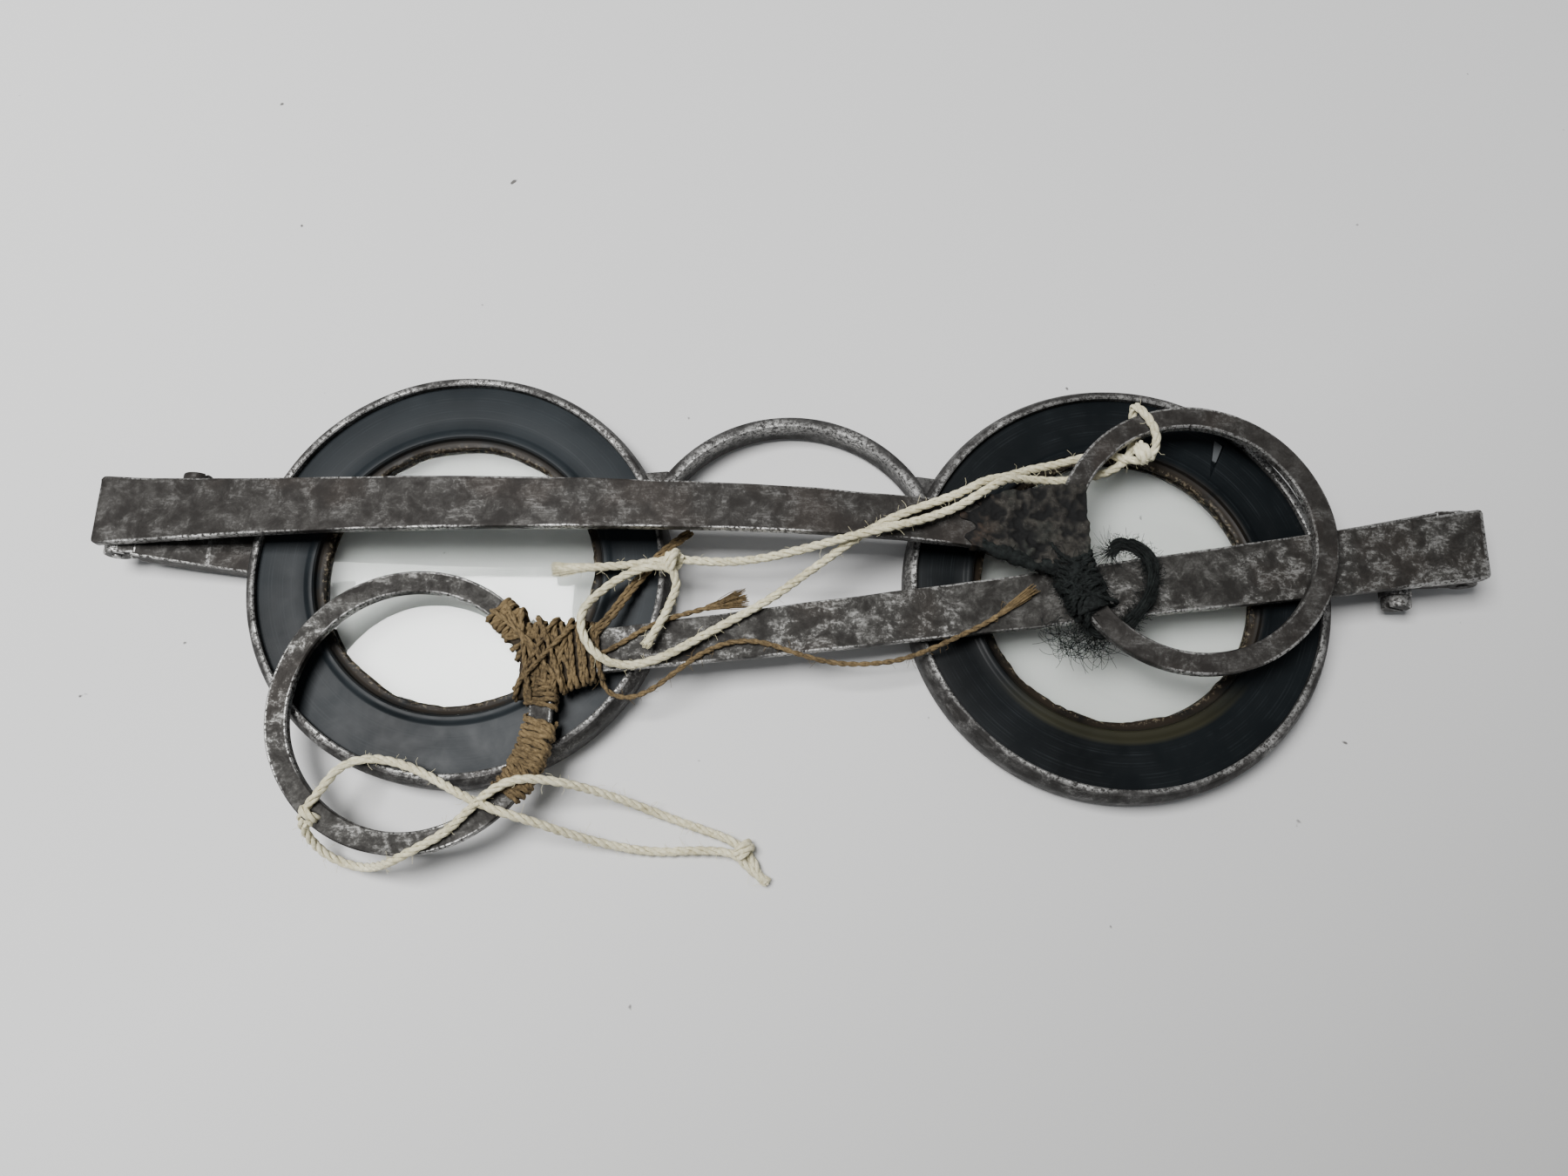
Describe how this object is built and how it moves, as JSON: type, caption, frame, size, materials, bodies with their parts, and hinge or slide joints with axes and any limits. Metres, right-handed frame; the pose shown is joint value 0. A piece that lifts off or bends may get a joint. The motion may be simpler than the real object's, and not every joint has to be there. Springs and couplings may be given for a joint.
{
  "type": "antique steel spectacles",
  "caption": "Folded antique steel spectacles: round eye rims with dark horn margins around small lenses, arched bridge, flat hinged sides with ring ends, thread bindings and tied strings.",
  "frame": {"origin": "bottom centre of the box round everything but the loose cords, on the table the front faces lie on", "axes": "+X along the spectacles towards the right-hand eye rim seen from behind, +Y towards the brow, +Z from the front faces towards the wearer"},
  "size_m": [0.1274, 0.0472, 0.0107],
  "materials": {
    "steel": "forged and filed steel, dark grey-brown patina with bright worn edges and light pitting",
    "horn": "blue-black buffalo horn, satin, fine circular turning marks",
    "lens_glass": "clear old glass, slightly dirty at the edge",
    "dark_silk": "black-green silk thread, worn and matted",
    "linen_thread": "brown twisted linen thread",
    "white_cotton": "cream-white twisted cotton string"
  },
  "bodies": {
    "front": {"left_eye_rim": "steel", "right_eye_rim": "steel", "bridge": "steel", "left_endpiece_upper": "steel", "left_endpiece_lower": "steel", "right_endpiece_upper": "steel", "right_endpiece_lower": "steel", "left_closing_screw": "steel", "right_closing_screw": "steel", "left_hinge_pin": "steel", "right_hinge_pin": "steel", "left_horn_margin": "horn", "right_horn_margin": "horn", "left_lens": "lens_glass", "right_lens": "lens_glass"},
    "left_side_body": {"left_side": "steel", "left_side_knuckle": "steel", "silk_binding": "dark_silk", "silk_tail": "dark_silk", "white_string_upper": "white_cotton"},
    "right_side_body": {"right_side": "steel", "right_side_knuckle": "steel", "linen_junction_binding": "linen_thread", "linen_ring_binding": "linen_thread", "linen_thread_tail": "linen_thread", "white_string_lower": "white_cotton"}
  },
  "joints": [
    {"name": "left_hinge", "type": "hinge", "parent": "front", "child": "left_side_body", "pos_m": [-0.0624, 0.00743, 0.00335], "axis": [0, -1, 0], "range_deg": [0, 96], "deforming": ["white_string_upper"]},
    {"name": "right_hinge", "type": "hinge", "parent": "front", "child": "right_side_body", "pos_m": [0.0624, 0.00743, 0.00335], "axis": [0, 1, 0], "range_deg": [0, 72], "deforming": ["white_string_lower", "linen_thread_tail"]}
  ],
  "couplings": [
    {"joint": "right_hinge", "follows": "left_hinge", "ratio": 0.75}
  ]
}
